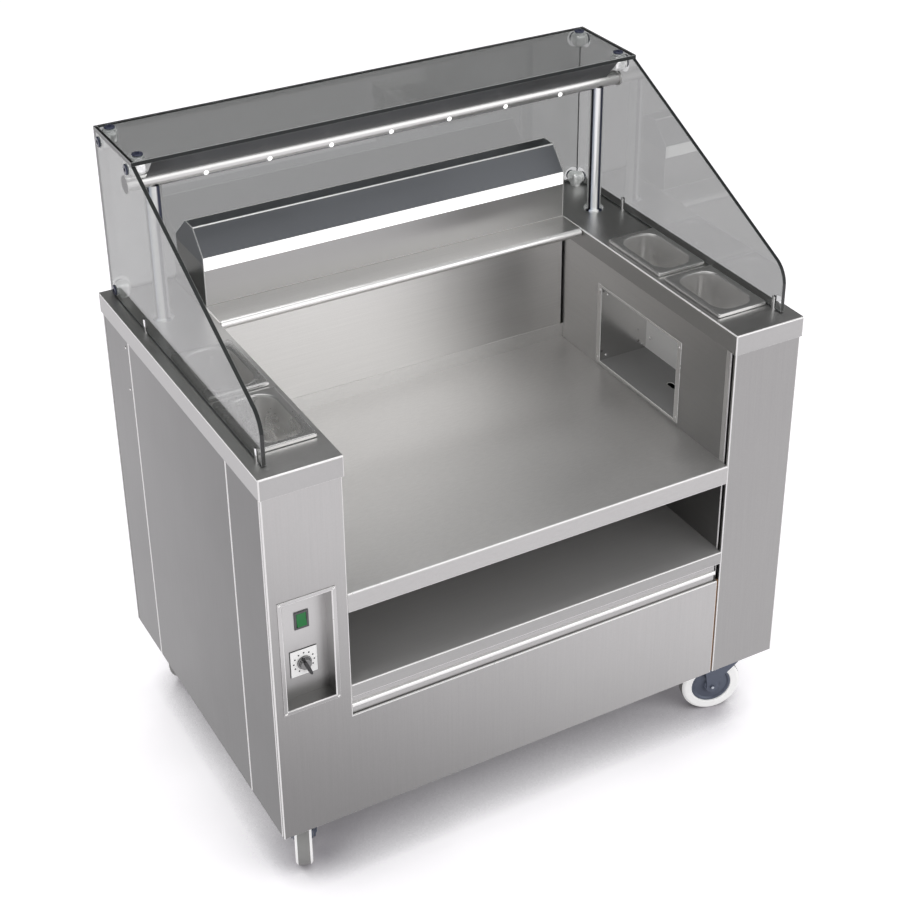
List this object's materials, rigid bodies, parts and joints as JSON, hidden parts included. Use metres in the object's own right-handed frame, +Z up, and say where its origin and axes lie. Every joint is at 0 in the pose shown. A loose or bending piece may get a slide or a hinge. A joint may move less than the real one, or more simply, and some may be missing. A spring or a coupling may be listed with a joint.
{
  "type": "mobile cooking station",
  "caption": "Steel cart with two towers, sunk worktop and open shelf, lift-out food containers, a lit hood, a glass guard and four swivel casters, for cooking in front of guests",
  "frame": {"origin": "on the floor under the middle of the body, centred between the side glasses and between front and back cap edges", "axes": "+X to the right as the cook sees it, +Y from the cook towards the guests, +Z up"},
  "size_m": [1.092, 0.7576, 1.267],
  "materials": {
    "steel": "satin brushed stainless sheet",
    "bright_steel": "bright stainless sheet",
    "frame_steel": "plain folded channel",
    "dark_steel": "dark lacquered sheet",
    "chrome": "polished",
    "glass": "clear toughened pane with ground edges",
    "opal": "opal light cover",
    "lamp": "light source",
    "white_plastic": "smooth",
    "grey_plastic": "moulded box",
    "black_plastic": "moulded",
    "green_lens": "lit green rocker",
    "zinc": "zinc plated",
    "slate": "slate grey",
    "wheel_rubber": "white tyre on a slate grey hub"
  },
  "bodies": {
    "cart": {"base_frame": "frame_steel", "base_pan": "steel", "front_cover": "steel", "right_front_panel": "steel", "left_side_front": "steel", "left_side_middle": "steel", "left_side_rear": "steel", "right_side_front": "steel", "right_side_middle": "steel", "right_side_rear": "steel", "back_panel": "steel", "left_inner_wall": "steel", "right_inner_wall": "steel", "left_cap": "steel", "right_cap": "steel", "worktop": "steel", "rear_wall": "steel", "shelf": "steel", "front_trim": "bright_steel", "sill": "steel", "hood_shell": "steel", "hood_ends": "steel", "light_diffuser": "opal", "strip_lamp": "lamp", "left_glass": "glass", "right_glass": "glass", "top_glass": "glass", "rear_glass": "glass", "glass_connectors": "chrome", "connector_caps": "bright_steel", "glass_pins": "chrome", "posts": "chrome", "light_tube": "bright_steel", "light_shade": "dark_steel", "led_spots": "lamp", "control_recess": "bright_steel", "switch_housing": "black_plastic", "dial_plate": "white_plastic", "rotary_switch": "black_plastic", "control_box": "grey_plastic", "led_driver": "white_plastic", "cable_gland": "black_plastic", "niche_box": "bright_steel", "panel_screws": "bright_steel", "caster_plates": "zinc"},
    "container_left_front": {"container_left_front": "bright_steel"},
    "container_left_rear": {"container_left_rear": "bright_steel"},
    "container_right_front": {"container_right_front": "bright_steel"},
    "container_right_rear": {"container_right_rear": "bright_steel"},
    "rocker": {"rocker": "green_lens"},
    "knob": {"knob": "black_plastic"},
    "fork_front_left": {"fork_front_left": "slate"},
    "fork_front_right": {"fork_front_right": "slate"},
    "fork_rear_left": {"fork_rear_left": "slate"},
    "fork_rear_right": {"fork_rear_right": "slate"},
    "wheel_front_left": {"wheel_front_left": "wheel_rubber"},
    "wheel_front_right": {"wheel_front_right": "wheel_rubber"},
    "wheel_rear_left": {"wheel_rear_left": "wheel_rubber"},
    "wheel_rear_right": {"wheel_rear_right": "wheel_rubber"},
    "brake_front_left": {"brake_front_left": "black_plastic"},
    "brake_front_right": {"brake_front_right": "black_plastic"}
  },
  "joints": [
    {"name": "swivel_front_left", "type": "hinge", "parent": "cart", "child": "fork_front_left", "pos_m": [-0.483, -0.311, 0.1422], "axis": [0, 0, 1], "continuous": true},
    {"name": "spin_front_left", "type": "hinge", "parent": "fork_front_left", "child": "wheel_front_left", "pos_m": [-0.46815, -0.27602, 0.0625], "axis": [-0.9205, 0.3907, 0], "continuous": true},
    {"name": "brake_front_left", "type": "hinge", "parent": "fork_front_left", "child": "brake_front_left", "pos_m": [-0.46268, -0.26313, 0.132], "axis": [-0.9205, 0.3907, 0], "range_deg": [0, 20]},
    {"name": "swivel_front_right", "type": "hinge", "parent": "cart", "child": "fork_front_right", "pos_m": [0.483, -0.311, 0.1422], "axis": [0, 0, 1], "continuous": true},
    {"name": "spin_front_right", "type": "hinge", "parent": "fork_front_right", "child": "wheel_front_right", "pos_m": [0.44666, -0.29989, 0.0625], "axis": [-0.2924, -0.9563, 0], "continuous": true},
    {"name": "brake_front_right", "type": "hinge", "parent": "fork_front_right", "child": "brake_front_right", "pos_m": [0.43327, -0.2958, 0.132], "axis": [-0.2924, -0.9563, 0], "range_deg": [0, 20]},
    {"name": "swivel_rear_left", "type": "hinge", "parent": "cart", "child": "fork_rear_left", "pos_m": [-0.483, 0.311, 0.1422], "axis": [0, 0, 1], "continuous": true},
    {"name": "spin_rear_left", "type": "hinge", "parent": "fork_rear_left", "child": "wheel_rear_left", "pos_m": [-0.45389, 0.33543, 0.0625], "axis": [-0.6428, 0.766, 0], "continuous": true},
    {"name": "swivel_rear_right", "type": "hinge", "parent": "cart", "child": "fork_rear_right", "pos_m": [0.483, 0.311, 0.1422], "axis": [0, 0, 1], "continuous": true},
    {"name": "spin_rear_right", "type": "hinge", "parent": "fork_rear_right", "child": "wheel_rear_right", "pos_m": [0.464, 0.27809, 0.0625], "axis": [0.866, -0.5, 0], "continuous": true},
    {"name": "lift_container_left_front", "type": "slide", "parent": "cart", "child": "container_left_front", "axis": [0, 0, 1], "range_m": [0, 0.2]},
    {"name": "lift_container_left_rear", "type": "slide", "parent": "cart", "child": "container_left_rear", "axis": [0, 0, 1], "range_m": [0, 0.2]},
    {"name": "lift_container_right_front", "type": "slide", "parent": "cart", "child": "container_right_front", "axis": [0, 0, 1], "range_m": [0, 0.2]},
    {"name": "lift_container_right_rear", "type": "slide", "parent": "cart", "child": "container_right_rear", "axis": [0, 0, 1], "range_m": [0, 0.2]},
    {"name": "rocker_tilt", "type": "hinge", "parent": "cart", "child": "rocker", "pos_m": [-0.473, -0.338, 0.603], "axis": [1, 0, 0], "range_deg": [0, 14]},
    {"name": "knob_turn", "type": "hinge", "parent": "cart", "child": "knob", "pos_m": [-0.473, -0.342, 0.513], "axis": [0, -1, 0], "range_deg": [0, 270]}
  ]
}
